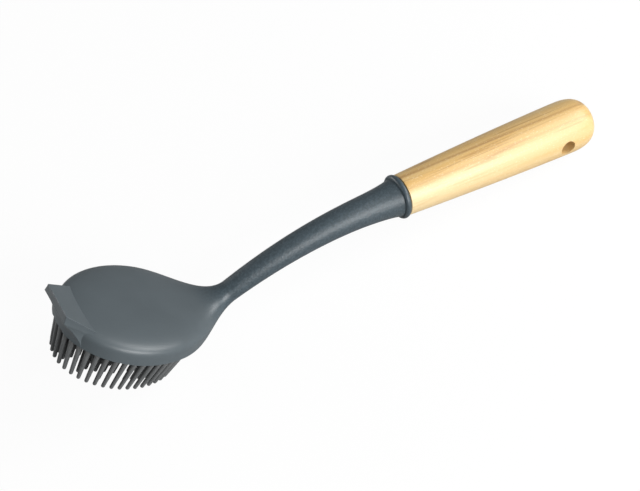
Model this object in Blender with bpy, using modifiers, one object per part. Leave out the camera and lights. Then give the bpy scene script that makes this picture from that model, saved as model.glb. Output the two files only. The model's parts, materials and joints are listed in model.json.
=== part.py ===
"""Dish brush: a turned wooden handle, a moulded head with a long curved neck, and a soft finger pad.

Metres, +Z up. The brush is modelled with its handle's axis along X, the collar's face at x = 0,
the butt towards +X and the head towards -X. An empty then lays the whole brush on z = 0, where
it rests on the rear fingers of its pad and on the round of its butt.
"""

import bmesh
import bpy
from math import atan2, cos, exp, hypot, pi, radians, sin, tan
from mathutils import Matrix, Vector

# Wooden handle
handle_length = 0.1125
handle_collar_radius = 0.0103
handle_butt_radius = 0.0137
handle_swell_share = 1.6
butt_round_length = 0.0175
butt_round_share = 3.2
butt_flat_radius = 0.004
handle_edge_chamfer = 0.0004
hanging_hole_radius = 0.0041
hanging_hole_to_butt = 0.0212
handle_sides = 56

# Collar and the tang that fills the handle's blind socket
bead_radius = 0.0111
bead_width = 0.0030
bead_foot_depth = 0.0014
tang_radius = 0.0056
tang_length = 0.0340
tang_lead_in = 0.0016
tang_root_in_neck = 0.0080
socket_tip_room = 0.0005
socket_point_share = 0.6
seat_gap = 0.0003

# Neck, from the collar to its root at the head
neck_waist_radius = 0.0052
neck_collar_radius = 0.0078
neck_straight_length = 0.0200
neck_root_back = 0.0920
neck_root_drop = 0.0160
flare_rise = 0.0026
flare_length = 0.0090
neck_stations = 20

# Head plate, in its own frame: u runs along the head towards the neck, w is square to the rim
head_half_length = 0.0360
head_half_width = 0.0290
head_height = 0.0099
head_centre_back = 0.1424
head_centre_drop = 0.00625
head_tilt = radians(27.1)
edge_squareness_share = 7.1
crown_roundness_share = 2.25
wall_draft_share = 0.035
rim_wall = 0.0010
pocket_depth = 0.0060
pocket_ceiling_share = 0.96
head_stations = 16
head_tip_angle = radians(12.0)

# Blend from the head into the neck, which starts behind the head's middle
blend_start = 0.0081
heel_handle = 0.0196
heel_end_handle = 0.0185
saddle_handle = 0.0140
saddle_end_handle = 0.0152
shoulder_half_width = 0.0208
flank_end_half_width = 0.0042
blend_stations = 16

# Scraper wedge on the head's front
scraper_edge_reach = 0.0405
scraper_edge_height = 0.0144
scraper_edge_half_width = 0.0099
scraper_lip_height = 0.0040
scraper_slope = radians(24.0)
scraper_root_reach = 0.0173
scraper_root_half_width = 0.0170
scraper_foot_height = 0.0006
scraper_foot_angle = radians(30.5)
scraper_hollow_share = 1.35
scraper_flank_share = 1.5
scraper_columns = 12
scraper_hollow_rows = 7
scraper_lip_rows = 3

# Soft pad: a dished backing seated in the head's pocket, with a ring and columns of fingers
pad_recess = 0.0010
pad_dish = 0.0036
pad_grid_rings = 2
oval_sides = 48
finger_length = 0.0219
finger_root_radius = 0.00115
finger_tip_radius = 0.00085
finger_root_sunk = 0.0004
finger_sides = 4
edge_finger_inset = 0.0027
edge_fingers = 44
column_pitch = 0.0043
row_pitch = 0.0047
finger_clearance = 0.0034
fan_radius = 0.1785
fan_centre_ahead = 0.0059

# Cutters run past what they cut by this much
overrun = 0.0020

# Corners along a section's half: under the head, then up its wall and over its crown
half_profile_floor_points = 4
half_profile_wall_points = 12
wall_spread_share = 0.45
round_floor_angle = radians(60.0)

# Steps along the turned profiles, round the drill and the collar, and in the searches
butt_round_steps = 10
handle_straight_steps = 8
bead_steps = 8
drill_sides = 32
collar_sides = 48
neck_end_crowding = 1.35
oval_walk_steps = 720
halvings = 50
merge_distance = 0.00001
shading_angle = radians(32.0)


def clear_scene():
    for item in list(bpy.data.objects):
        bpy.data.objects.remove(item, do_unlink=True)


def new_collection(name):
    collection = bpy.data.collections.new(name)
    bpy.context.scene.collection.children.link(collection)
    return collection


def new_material(name, colour, roughness, metallic=0.0):
    material = bpy.data.materials.new(name)
    material.use_nodes = True
    shader = material.node_tree.nodes["Principled BSDF"]
    shader.inputs["Base Color"].default_value = (*colour, 1.0)
    shader.inputs["Roughness"].default_value = roughness
    shader.inputs["Metallic"].default_value = metallic
    material.diffuse_color = (*colour, 1.0)
    return material


def new_object(name, mesh, collection, material=None):
    item = bpy.data.objects.new(name, mesh)
    collection.objects.link(item)
    if material:
        mesh.materials.append(material)
    return item


def mesh_from(bm, name):
    bmesh.ops.recalc_face_normals(bm, faces=bm.faces)
    mesh = bpy.data.meshes.new(name)
    bm.to_mesh(mesh)
    bm.free()
    return mesh


def evaluated_mesh(item):
    """A plain mesh of an object with its modifiers applied."""
    graph = bpy.context.evaluated_depsgraph_get()
    return bpy.data.meshes.new_from_object(item.evaluated_get(graph))


def turned(name, profile, sides, collection, material=None):
    """Turn a profile of (radius, height) points about Z, listed down its outer side."""
    mesh = bpy.data.meshes.new(name)
    points = [(radius, 0.0, height) for radius, height in profile]
    edges = [(k, k + 1) for k in range(len(points) - 1)]
    mesh.from_pydata(points, edges, [])
    item = new_object(name, mesh, collection, material)
    screw = item.modifiers.new("Turn", "SCREW")
    screw.steps = sides
    screw.render_steps = sides
    screw.use_merge_vertices = True
    screw.merge_threshold = merge_distance
    screw.use_normal_calculate = True
    return item


def loft(rings):
    """Skin a list of closed rings with equal counts, and close both ends."""
    bm = bmesh.new()
    rows = [[bm.verts.new(point) for point in ring] for ring in rings]
    count = len(rows[0])
    for near, far in zip(rows, rows[1:]):
        for k in range(count):
            bm.faces.new((near[k], near[(k + 1) % count], far[(k + 1) % count], far[k]))
    bm.faces.new(rows[0])
    bm.faces.new(reversed(rows[-1]))
    bmesh.ops.triangulate(bm, faces=bm.faces)
    return bm


def bake(item, collection):
    """Swap an object for one whose mesh already holds its modifiers."""
    mesh = evaluated_mesh(item)
    name = item.name
    bpy.data.objects.remove(item, do_unlink=True)
    return new_object(name, mesh, collection)


def as_cutter(item):
    item.hide_render = True
    item.display_type = "WIRE"
    return item


def combine(item, other, operation):
    boolean = item.modifiers.new(operation.title(), "BOOLEAN")
    boolean.operation = operation
    boolean.solver = "EXACT"
    boolean.object = other
    return boolean


def shade(mesh):
    mesh.shade_smooth()
    mesh.set_sharp_from_angle(angle=shading_angle)


def bezier(points, t):
    """A point on a Bezier curve through the first and last points, for numbers or vectors."""
    while len(points) > 1:
        points = [a + (b - a) * t for a, b in zip(points, points[1:])]
    return points[0]


def smooth_step(t):
    return t * t * (3.0 - 2.0 * t)


# The wooden handle

def handle_radius(x):
    """The turned handle swells fast behind the collar and levels out towards the butt."""
    t = x / handle_length
    grown = 1.0 - (1.0 - t) ** handle_swell_share
    radius = handle_collar_radius + (handle_butt_radius - handle_collar_radius) * grown
    round_start = handle_length - butt_round_length
    if x > round_start:
        depth = min((x - round_start) / butt_round_length, 1.0)
        radius *= (1.0 - depth ** butt_round_share) ** (1.0 / butt_round_share)
    return max(radius, butt_flat_radius)


def handle_profile():
    """Butt first, down the outer side to the collar end, then up the blind socket."""
    socket_radius = tang_radius + seat_gap
    socket_depth = tang_length + socket_tip_room
    socket_point = socket_depth + socket_radius * socket_point_share
    round_start = handle_length - butt_round_length
    points = [(0.0, handle_length), (butt_flat_radius, handle_length)]
    for k in range(1, butt_round_steps):
        x = round_start + butt_round_length * cos(k / butt_round_steps * pi / 2.0)
        if handle_radius(x) > butt_flat_radius:
            points.append((handle_radius(x), x))
    for k in range(handle_straight_steps):
        x = round_start * (1.0 - k / handle_straight_steps)
        points.append((handle_radius(x), x))
    chamfer = handle_edge_chamfer
    points.append((handle_radius(chamfer), chamfer))
    points.append((handle_radius(0.0) - chamfer, 0.0))
    points.append((socket_radius, 0.0))
    points.append((socket_radius, socket_depth))
    points.append((0.0, socket_point))
    return points


def build_handle(parts, cutters, material):
    handle = turned("wooden_handle", handle_profile(), handle_sides, parts)
    along_x = Matrix.Rotation(pi / 2.0, 4, "Y")
    mesh = evaluated_mesh(handle)
    mesh.transform(along_x)
    bpy.data.objects.remove(handle, do_unlink=True)
    handle = new_object("wooden_handle", mesh, parts, material)

    reach = 2.0 * (handle_butt_radius + overrun)
    bm = bmesh.new()
    bmesh.ops.create_cone(bm, cap_ends=True, segments=drill_sides, radius1=hanging_hole_radius,
                          radius2=hanging_hole_radius, depth=reach)
    drill = as_cutter(new_object("hanging_hole_drill", mesh_from(bm, "drill"), cutters))
    drill.rotation_euler = (pi / 2.0, 0.0, 0.0)
    drill.location = (handle_length - hanging_hole_to_butt, 0.0, 0.0)
    combine(handle, drill, "DIFFERENCE")
    shade(handle.data)
    return handle


# The head and neck moulding

def head_xz(u, w):
    """A point of the head's own frame, as x and z."""
    x = -head_centre_back + u * cos(head_tilt) + w * sin(head_tilt)
    z = -head_centre_drop - u * sin(head_tilt) + w * cos(head_tilt)
    return Vector((x, z))


def head_point(u, y, w):
    spot = head_xz(u, w)
    return Vector((spot.x, y, spot.y))


def head_matrix():
    """The head's frame as a matrix: its X is u, its Y is across, its Z is w."""
    tilt = Matrix.Rotation(head_tilt, 4, "Y")
    return Matrix.Translation((-head_centre_back, 0.0, -head_centre_drop)) @ tilt


def rim_share_at(height_share):
    """How far out the head's skin is at a height, as a share of the rim's oval."""
    cap = max(1.0 - height_share ** edge_squareness_share, 0.0)
    return cap ** (1.0 / crown_roundness_share) * (1.0 - wall_draft_share * height_share)


def skin_height_at(rim_share):
    """The head's height over a point that far out on the rim's oval."""
    low, high = 0.0, 1.0
    for _ in range(halvings):
        middle = (low + high) / 2.0
        if rim_share_at(middle) > rim_share:
            low = middle
        else:
            high = middle
    return head_height * low


def neck_centre(x):
    """The neck's centre line is straight behind the collar and then drops in a parabola."""
    run = max(-x - neck_straight_length, 0.0) / (neck_root_back - neck_straight_length)
    return Vector((x, -neck_root_drop * run * run))


def neck_direction(x):
    run = max(-x - neck_straight_length, 0.0) / (neck_root_back - neck_straight_length)
    slope = 2.0 * neck_root_drop * run / (neck_root_back - neck_straight_length)
    return Vector((1.0, slope)).normalized()


def neck_radius(x):
    """A slow taper to the waist, with a trumpet flare at the collar."""
    t = 1.0 + x / neck_root_back
    straight = neck_waist_radius + (neck_collar_radius - neck_waist_radius) * t
    return straight + flare_rise * exp(x / flare_length)


def half_shares(head_station):
    """Half of a section, from its middle underneath to its middle on top, as shares.

    The first number is out of the half width, the second out of the height.
    """
    shares = [(k / half_profile_floor_points, 0.0) for k in range(half_profile_floor_points)]
    top_share = skin_height_at(head_station) / head_height
    edge = (1.0 - head_station ** 2) ** 0.5
    for k in range(half_profile_wall_points + 1):
        rise = sin(k / half_profile_wall_points * pi / 2.0) ** wall_spread_share
        out = max(rim_share_at(rise * top_share) ** 2 - head_station ** 2, 0.0) ** 0.5
        shares.append((out / edge, rise))
    shares[-1] = (0.0, 1.0)
    return shares


def round_shares():
    """The same walk round half of a circle."""
    angles = [round_floor_angle * k / half_profile_floor_points
              for k in range(half_profile_floor_points)]
    for k in range(half_profile_wall_points + 1):
        angles.append(round_floor_angle + (pi - round_floor_angle) * k / half_profile_wall_points)
    return [(sin(angle), (1.0 - cos(angle)) / 2.0) for angle in angles]


def ring_between(bottom, top, half_width, shares):
    """A closed section ring from its lowest and highest points, both as x and z."""
    half = []
    for out, rise in shares:
        spot = bottom + (top - bottom) * rise
        half.append((spot.x, out * half_width, spot.y))
    mirrored = [(x, -y, z) for x, y, z in half[-2:0:-1]]
    return [Vector(point) for point in half + mirrored]


def mix_shares(first, second, t):
    return [(a[0] + (b[0] - a[0]) * t, a[1] + (b[1] - a[1]) * t) for a, b in zip(first, second)]


def head_rings():
    """Sections square to the rim, from the front tip to where the blend starts."""
    share = blend_start / head_half_length
    last_angle = pi - atan2((1.0 - share ** 2) ** 0.5, share)
    rings = []
    for k in range(head_stations + 1):
        angle = head_tip_angle + (last_angle - head_tip_angle) * k / head_stations
        u = -head_half_length * cos(angle)
        share = abs(cos(angle))
        bottom = head_xz(u, 0.0)
        top = head_xz(u, skin_height_at(share))
        rings.append(ring_between(bottom, top, head_half_width * sin(angle), half_shares(share)))
    return rings


def blend_rings():
    """Sections that swing from square to the rim to square to the neck."""
    share = blend_start / head_half_length
    start_height = skin_height_at(share)
    start_half_width = head_half_width * (1.0 - share ** 2) ** 0.5
    oval_slope = head_half_width ** 2 * share / (head_half_length * start_half_width)
    cubic_to_quartic = 3.0 / 4.0
    flank_run = cubic_to_quartic * (heel_handle + saddle_handle) / 2.0
    flank_half_width = start_half_width - oval_slope * flank_run
    root_x = -neck_root_back
    centre = neck_centre(root_x)
    along = neck_direction(root_x)
    up = Vector((-along.y, along.x))
    radius = neck_radius(root_x)
    head_along = Vector((cos(head_tilt), -sin(head_tilt)))
    low_start = head_xz(blend_start, 0.0)
    low_end = centre - up * radius
    low = (low_start, low_start + head_along * heel_handle,
           low_end - along * heel_end_handle, low_end)
    high_start = head_xz(blend_start, start_height)
    high_end = centre + up * radius
    high = (high_start, high_start + head_along * saddle_handle,
            high_end - along * saddle_end_handle, high_end)
    widths = (start_half_width, flank_half_width, shoulder_half_width, flank_end_half_width, radius)
    head_shares = half_shares(share)
    neck_shares = round_shares()
    rings = []
    for k in range(1, blend_stations + 1):
        t = k / blend_stations
        shares = mix_shares(head_shares, neck_shares, smooth_step(t))
        rings.append(ring_between(bezier(low, t), bezier(high, t), bezier(widths, t), shares))
    return rings


def neck_rings():
    """Round sections from the neck's root to the middle of the collar's bead."""
    end_x = -(seat_gap + bead_width / 2.0)
    rings = []
    for k in range(1, neck_stations + 1):
        t = k / neck_stations
        x = -neck_root_back + (neck_root_back + end_x) * (1.0 - (1.0 - t) ** neck_end_crowding)
        along = neck_direction(x)
        up = Vector((-along.y, along.x)) * neck_radius(x)
        centre = neck_centre(x)
        rings.append(ring_between(centre - up, centre + up, neck_radius(x), round_shares()))
    return rings


def collar_profile():
    """The tang's tip first, down to the bead and into the neck."""
    face = -seat_gap
    half_bead = bead_width / 2.0
    foot_radius = bead_radius - bead_foot_depth
    points = [(0.0, tang_length - seat_gap), (tang_radius - tang_lead_in, tang_length - seat_gap)]
    points.append((tang_radius, tang_length - seat_gap - tang_lead_in))
    points.append((tang_radius, face))
    points.append((foot_radius, face))
    for k in range(1, bead_steps):
        angle = pi * k / bead_steps
        height = face - half_bead + half_bead * cos(angle)
        points.append((foot_radius + bead_foot_depth * sin(angle), height))
    points.append((foot_radius, face - bead_width))
    points.append((tang_radius, face - bead_width))
    points.append((tang_radius, face - tang_root_in_neck))
    points.append((0.0, face - tang_root_in_neck))
    return points


def scraper_climbs():
    """Shares of the wedge's height for its rows: a hollow wall below, an upright lip above."""
    height = scraper_edge_height - scraper_foot_height
    lip_start = (height - scraper_lip_height) / height
    hollow = [lip_start * row / scraper_hollow_rows for row in range(scraper_hollow_rows)]
    lip = [lip_start + (1.0 - lip_start) * row / scraper_lip_rows
           for row in range(scraper_lip_rows + 1)]
    leans = [(climb / lip_start) ** scraper_hollow_share for climb in hollow] + [1.0] * len(lip)
    return list(zip(hollow + lip, leans))


def scraper_columns_of_points():
    """The wedge's front and rear chains, from its foot up, for each column across it."""
    height = scraper_edge_height - scraper_foot_height
    root_height = height - (scraper_edge_reach - scraper_root_reach) * tan(scraper_slope)
    columns = []
    for column in range(scraper_columns + 1):
        across = 2.0 * column / scraper_columns - 1.0
        angle = across * scraper_foot_angle
        foot_u = -head_half_length * cos(angle)
        foot_y = head_half_width * sin(angle)
        root_y = across * scraper_root_half_width
        edge_y = across * scraper_edge_half_width
        front = []
        rear = []
        for climb, lean in scraper_climbs():
            u = foot_u + (-scraper_edge_reach - foot_u) * lean
            y = edge_y + (foot_y - edge_y) * (1.0 - climb) ** scraper_flank_share
            front.append(head_point(u, y, scraper_foot_height + height * climb))
            rear_height = scraper_foot_height + root_height * climb
            rear.append(head_point(-scraper_root_reach, root_y, rear_height))
        columns.append((front, rear))
    return columns


def scraper_mesh():
    """The wedge: a hollow front, a flat facet on top and ruled flanks."""
    bm = bmesh.new()
    columns = [([bm.verts.new(point) for point in front], [bm.verts.new(point) for point in rear])
               for front, rear in scraper_columns_of_points()]
    loops = [front + rear[::-1] for front, rear in columns]
    for near, far in zip(loops, loops[1:]):
        for k in range(len(near)):
            after = (k + 1) % len(near)
            bm.faces.new((near[k], near[after], far[after], far[k]))
    for front, rear in (columns[0], columns[-1]):
        for k in range(len(front) - 1):
            bm.faces.new((front[k], front[k + 1], rear[k + 1], rear[k]))
    bmesh.ops.triangulate(bm, faces=bm.faces)
    return mesh_from(bm, "scraper_wedge")


def pocket_share_at(height):
    """The pocket's walls draw in from the rim to the ceiling, by this share of the oval."""
    return 1.0 - (1.0 - pocket_ceiling_share) * height / pocket_depth


def pocket_cutter(collection):
    """The oval pocket under the head, run past the rim."""
    bm = bmesh.new()
    depth = pocket_depth + overrun
    bmesh.ops.create_cone(bm, cap_ends=True, segments=oval_sides, depth=1.0,
                          radius1=pocket_share_at(-overrun), radius2=pocket_ceiling_share)
    size = Matrix.Diagonal((head_half_length - rim_wall, head_half_width - rim_wall, depth, 1.0))
    middle = Matrix.Translation((0.0, 0.0, (pocket_depth - overrun) / 2.0))
    bmesh.ops.transform(bm, matrix=head_matrix() @ middle @ size, verts=bm.verts)
    return as_cutter(new_object("pad_pocket", mesh_from(bm, "pad_pocket"), collection))


def build_head(parts, cutters, material):
    rings = head_rings() + blend_rings() + neck_rings()
    head = new_object("head_and_neck", mesh_from(loft(rings), "head_and_neck"), parts, material)

    collar = turned("collar_and_tang", collar_profile(), collar_sides, cutters)
    collar_mesh = evaluated_mesh(collar)
    collar_mesh.transform(Matrix.Rotation(pi / 2.0, 4, "Y"))
    bpy.data.objects.remove(collar, do_unlink=True)
    collar = as_cutter(new_object("collar_and_tang", collar_mesh, cutters))
    combine(head, collar, "UNION")

    wedge = as_cutter(new_object("scraper_wedge", scraper_mesh(), cutters))
    combine(head, wedge, "UNION")

    combine(head, pocket_cutter(cutters), "DIFFERENCE")
    shade(head.data)
    return head


# The soft pad

def pad_half_length():
    return (head_half_length - rim_wall) * pocket_share_at(pad_recess) - seat_gap


def pad_half_width():
    return (head_half_width - rim_wall) * pocket_share_at(pad_recess) - seat_gap


def pad_dish_height(u, y):
    """The pad's underside is a shallow dish with its edge just inside the rim."""
    out = (u / pad_half_length()) ** 2 + (y / pad_half_width()) ** 2
    return pad_recess + pad_dish * (1.0 - out)


def oval_row(bm, half_length, half_width, height=None):
    """A ring of corners round an oval, level or on the pad's dished underside."""
    row = []
    for k in range(oval_sides):
        angle = 2.0 * pi * k / oval_sides
        u = half_length * cos(angle)
        y = half_width * sin(angle)
        row.append(bm.verts.new((u, y, pad_dish_height(u, y) if height is None else height)))
    return row


def build_backing(collection, material):
    """The backing fills the pocket: a dished underside, drafted sides and a flat top."""
    bm = bmesh.new()
    shares = [ring / pad_grid_rings for ring in range(1, pad_grid_rings + 1)]
    rows = [oval_row(bm, pad_half_length() * share, pad_half_width() * share) for share in shares]
    top = pocket_depth - seat_gap
    rows.append(oval_row(bm, (head_half_length - rim_wall) * pocket_share_at(top) - seat_gap,
                         (head_half_width - rim_wall) * pocket_share_at(top) - seat_gap, top))
    for inner, outer in zip(rows, rows[1:]):
        for k in range(oval_sides):
            after = (k + 1) % oval_sides
            bm.faces.new((inner[k], inner[after], outer[after], outer[k]))
    bm.faces.new(rows[0])
    bm.faces.new(rows[-1])
    bmesh.ops.triangulate(bm, faces=bm.faces)
    return new_object("bristle_pad", mesh_from(bm, "bristle_pad"), collection, material)


def finger_mesh():
    """One tapered finger, hanging down from z = 0, with few sides and flat ends.

    Its corners stand out so that its mean width is that of a round finger.
    """
    corner_share = pi / (finger_sides * sin(pi / finger_sides))
    angles = [2.0 * pi * k / finger_sides for k in range(finger_sides)]
    bm = bmesh.new()
    rows = []
    for radius, height in ((finger_root_radius, finger_root_sunk), (finger_tip_radius, -finger_length)):
        corner = radius * corner_share
        rows.append([bm.verts.new((corner * cos(a), corner * sin(a), height)) for a in angles])
    upper, lower = rows
    for k in range(finger_sides):
        after = (k + 1) % finger_sides
        bm.faces.new((upper[k], lower[k], lower[after], upper[after]))
    bm.faces.new(upper)
    bm.faces.new(reversed(lower))
    return mesh_from(bm, "finger")


def oval_spots(half_length, half_width, count):
    """Points spread evenly along an oval, as u and y."""
    angles = [2.0 * pi * k / oval_walk_steps for k in range(oval_walk_steps + 1)]
    walk = [(half_length * cos(angle), half_width * sin(angle)) for angle in angles]
    distances = [0.0]
    for near, far in zip(walk, walk[1:]):
        distances.append(distances[-1] + hypot(far[0] - near[0], far[1] - near[1]))
    spots = []
    index = 0
    for k in range(count):
        target = distances[-1] * k / count
        while distances[index + 1] < target:
            index += 1
        part = (target - distances[index]) / (distances[index + 1] - distances[index])
        near, far = walk[index], walk[index + 1]
        spots.append((near[0] + (far[0] - near[0]) * part, near[1] + (far[1] - near[1]) * part))
    return spots


def finger_spots():
    """The fingers' roots: an even ring inside the rim, and columns across the pad inside it."""
    half_length = head_half_length - edge_finger_inset
    half_width = head_half_width - edge_finger_inset
    ring = oval_spots(half_length, half_width, edge_fingers)
    inner = []
    last_column = int(half_length / column_pitch)
    for column in range(-last_column, last_column + 1):
        u = column * column_pitch
        reach = half_width * (1.0 - (u / half_length) ** 2) ** 0.5
        rows = round(2.0 * reach / row_pitch)
        for row in range(1, rows):
            y = reach * (2.0 * row / rows - 1.0)
            if min(hypot(u - ring_u, y - ring_y) for ring_u, ring_y in ring) > finger_clearance:
                inner.append((u, y))
    return ring + inner


def finger_matrix(u, y):
    """Place a finger at its root, leaning in towards the pad's middle."""
    down = Vector((-(u + fan_centre_ahead) / fan_radius, -y / fan_radius, -1.0)).normalized()
    lean = Vector((0.0, 0.0, -1.0)).rotation_difference(down).to_matrix().to_4x4()
    return Matrix.Translation((u, y, pad_dish_height(u, y))) @ lean


def build_fingers(collection):
    """Every finger in one mesh."""
    finger = finger_mesh()
    spots = finger_spots()
    bm = bmesh.new()
    for u, y in spots:
        start = len(bm.verts)
        bm.from_mesh(finger)
        bm.verts.ensure_lookup_table()
        bmesh.ops.transform(bm, matrix=finger_matrix(u, y), verts=bm.verts[start:])
    print("fingers on the pad:", len(spots))
    return as_cutter(new_object("pad_fingers", mesh_from(bm, "pad_fingers"), collection))


def build_pad(parts, cutters, material):
    pad = build_backing(parts, material)
    fingers = build_fingers(cutters)
    combine(pad, fingers, "UNION")
    pad = bake(pad, parts)
    pad.data.transform(head_matrix())
    return pad


# Rest pose

def side_view(items):
    """Every corner of the given objects, as x and z."""
    spots = []
    for item in items:
        mesh = evaluated_mesh(item)
        spots.extend((v.co.x, v.co.z) for v in mesh.vertices)
        bpy.data.meshes.remove(mesh)
    return spots


def lowest(spots, pitch):
    return min(z * cos(pitch) - x * sin(pitch) for x, z in spots)


def rest_pitch(front, back):
    """The pitch at which the pad's tips and the handle's butt touch one level surface."""
    low, high = radians(-30.0), radians(40.0)
    for _ in range(halvings):
        middle = (low + high) / 2.0
        if lowest(back, middle) > lowest(front, middle):
            low = middle
        else:
            high = middle
    return low


def lay_down(items, handle):
    front = side_view([item for item in items if item is not handle])
    front = [spot for spot in front if spot[0] < -neck_root_back]
    back = side_view([handle])
    pitch = rest_pitch(front, back)
    spots = front + back
    length = [x * cos(pitch) + z * sin(pitch) for x, z in spots]
    height = lowest(spots, pitch)
    rest = bpy.data.objects.new("rest_pose", None)
    bpy.context.scene.collection.objects.link(rest)
    rest.rotation_euler = (0.0, pitch, 0.0)
    rest.location = (-(min(length) + max(length)) / 2.0, 0.0, -height)
    for item in items:
        item.parent = rest
    return rest


def main():
    clear_scene()
    parts = new_collection("dish_brush")
    cutters = new_collection("cutters")
    beech = new_material("oiled_beech", (0.80, 0.58, 0.30), 0.50)
    slate = new_material("slate_plastic", (0.105, 0.125, 0.135), 0.45)
    rubber = new_material("grey_silicone", (0.075, 0.080, 0.085), 0.60)
    handle = build_handle(parts, cutters, beech)
    head = build_head(parts, cutters, slate)
    pad = build_pad(parts, cutters, rubber)
    rest = lay_down([handle, head, pad], handle)
    for cutter in cutters.objects:
        cutter.parent = rest
    bpy.context.view_layer.update()


main()
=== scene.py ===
"""Dresses the cleaning brush: a turned handle, a moulded head and neck, and a pad of soft fingers.

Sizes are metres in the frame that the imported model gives. The brush is built along its handle:
X runs from the collar's face to the butt, with the head on -X, and rest_pose() lays it down.
"""

import json
from math import atan2, cos, exp, hypot, pi, radians, sin, tan

import bmesh
import bpy
from bpy.props import FloatProperty, FloatVectorProperty, IntProperty, PointerProperty
from mathutils import Matrix, Vector


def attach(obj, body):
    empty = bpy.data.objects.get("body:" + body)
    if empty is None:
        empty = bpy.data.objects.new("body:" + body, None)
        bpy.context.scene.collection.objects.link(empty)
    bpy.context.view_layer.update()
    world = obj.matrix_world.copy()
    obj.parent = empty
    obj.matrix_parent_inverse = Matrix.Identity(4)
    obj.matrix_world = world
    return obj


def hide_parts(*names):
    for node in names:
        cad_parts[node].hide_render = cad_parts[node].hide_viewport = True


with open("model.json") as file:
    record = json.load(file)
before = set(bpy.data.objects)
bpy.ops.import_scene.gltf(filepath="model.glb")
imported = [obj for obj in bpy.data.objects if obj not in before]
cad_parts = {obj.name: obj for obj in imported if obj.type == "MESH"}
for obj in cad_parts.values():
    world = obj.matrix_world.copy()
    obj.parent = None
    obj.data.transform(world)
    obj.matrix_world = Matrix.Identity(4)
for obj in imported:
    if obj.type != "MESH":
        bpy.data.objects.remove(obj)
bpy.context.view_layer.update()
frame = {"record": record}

bl_info = {
    "name": "Cleaning Brush",
    "version": (1, 0, 0),
    "blender": (4, 5, 0),
    "location": "View3D > Sidebar > Brush",
    "description": "Builds and dresses a cleaning brush with a turned handle and soft fingers",
    "category": "Object",
}

butt_mount = frame["record"]["mounts"][0]


def length(name, default, description):
    return FloatProperty(name=name, default=default, min=0.0, precision=5, unit="LENGTH",
                         description=description)


def colour(name, default, description):
    return FloatVectorProperty(name=name, default=default, min=0.0, max=1.0, size=3,
                               subtype="COLOR", description=description)


def share(name, default, description):
    return FloatProperty(name=name, default=default, min=0.0, description=description)


def count(name, default, description):
    return IntProperty(name=name, default=default, min=1, description=description)


class HandleSizes(bpy.types.PropertyGroup):
    """The turned wooden handle."""

    length: length("Length", 0.1125, "From the collar's face to the butt")
    collar_radius: length("Collar radius", 0.0103, "Radius of the wood at the collar")
    butt_radius: length("Butt radius", 0.0137, "Largest radius, near the butt")
    swell: share("Swell", 1.6, "How fast the handle swells behind the collar")
    round_length: length("Butt rounding", 0.0175, "Length of the rounded butt")
    round_power: share("Butt fullness", 3.2, "Fullness of the rounded butt")
    flat_radius: length("Butt flat", 0.004, "Radius of the flat disc on the butt")
    chamfer: length("Edge chamfer", 0.0004, "Chamfer where the wood meets the collar")
    hole_radius: length("Hole radius", 0.0041, "Radius of the hanging hole")
    hole_to_butt: length("Hole to butt", 0.0212, "From the hole's axis to the butt")
    socket_depth: length("Socket depth", 0.0345, "Depth of the blind socket for the tang")
    sides: count("Sides", 128, "Sides of the turned form")


class HeadSizes(bpy.types.PropertyGroup):
    """The moulded head, with u along it, y across it and w square to its rim."""

    half_length: length("Half length", 0.0360, "Half of the rim's oval along the head")
    half_width: length("Half width", 0.0290, "Half of the rim's oval across the head")
    height: length("Height", 0.0099, "Height of the dome over the rim")
    centre_back: length("Centre back", 0.1424, "From the collar's face back to the oval's centre")
    centre_drop: length("Centre drop", 0.00625, "From the handle's axis down to the oval's centre")
    tilt: FloatProperty(name="Tilt", default=radians(27.1), subtype="ANGLE",
                        description="Angle between the rim and the handle's axis")
    squareness: share("Edge squareness", 7.1, "How square the dome's edge is")
    roundness: share("Crown roundness", 2.25, "How round the dome's crown is")
    draft: share("Wall draft", 0.035, "How much the wall leans in over the head's height")
    rim_wall: length("Rim wall", 0.0010, "Thickness of the wall at the rim")
    pocket_depth: length("Pocket depth", 0.0060, "Depth of the pocket that holds the pad")
    pocket_share: share("Pocket ceiling", 0.96, "The pocket's ceiling as a share of its mouth")
    blend_start: length("Blend start", 0.0081, "Where the dome starts to blend into the neck")
    heel: length("Heel", 0.0196, "Reach of the flat underside behind the blend's start")
    heel_end: length("Heel end", 0.0185, "Reach of the neck's line into the heel")
    saddle: length("Saddle", 0.0140, "Reach of the dome's line into the saddle")
    saddle_end: length("Saddle end", 0.0152, "Reach of the neck's line into the saddle")
    shoulder: length("Shoulder", 0.0208, "Half width that the middle of the blend draws towards")
    flank_end: length("Flank end", 0.0042, "Half width that the blend draws towards at the neck")


class NeckSizes(bpy.types.PropertyGroup):
    """The long curved neck, its flare and the bead of the collar."""

    waist_radius: length("Waist radius", 0.0052, "Radius at the neck's root")
    collar_radius: length("Collar radius", 0.0078, "Radius that the neck tapers up to")
    straight: length("Straight length", 0.0200, "Straight length next to the collar")
    root_back: length("Root back", 0.0920, "From the collar's face back to the neck's root")
    root_drop: length("Root drop", 0.0160, "How far the neck has dropped at its root")
    flare_rise: length("Flare rise", 0.0026, "Extra radius of the flare at the collar")
    flare_length: length("Flare length", 0.0090, "Length over which the flare dies away")
    bead_radius: length("Bead radius", 0.0111, "Outer radius of the collar's bead")
    bead_width: length("Bead width", 0.0030, "Width of the bead")
    bead_foot: length("Bead foot", 0.0014, "Depth of the bead's half round")
    tang_radius: length("Tang radius", 0.0056, "Radius of the tang in the handle")
    tang_length: length("Tang length", 0.0340, "Length of the tang")
    seat_gap: length("Seat gap", 0.0003, "Clearance between pieces that seat in each other")


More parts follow.
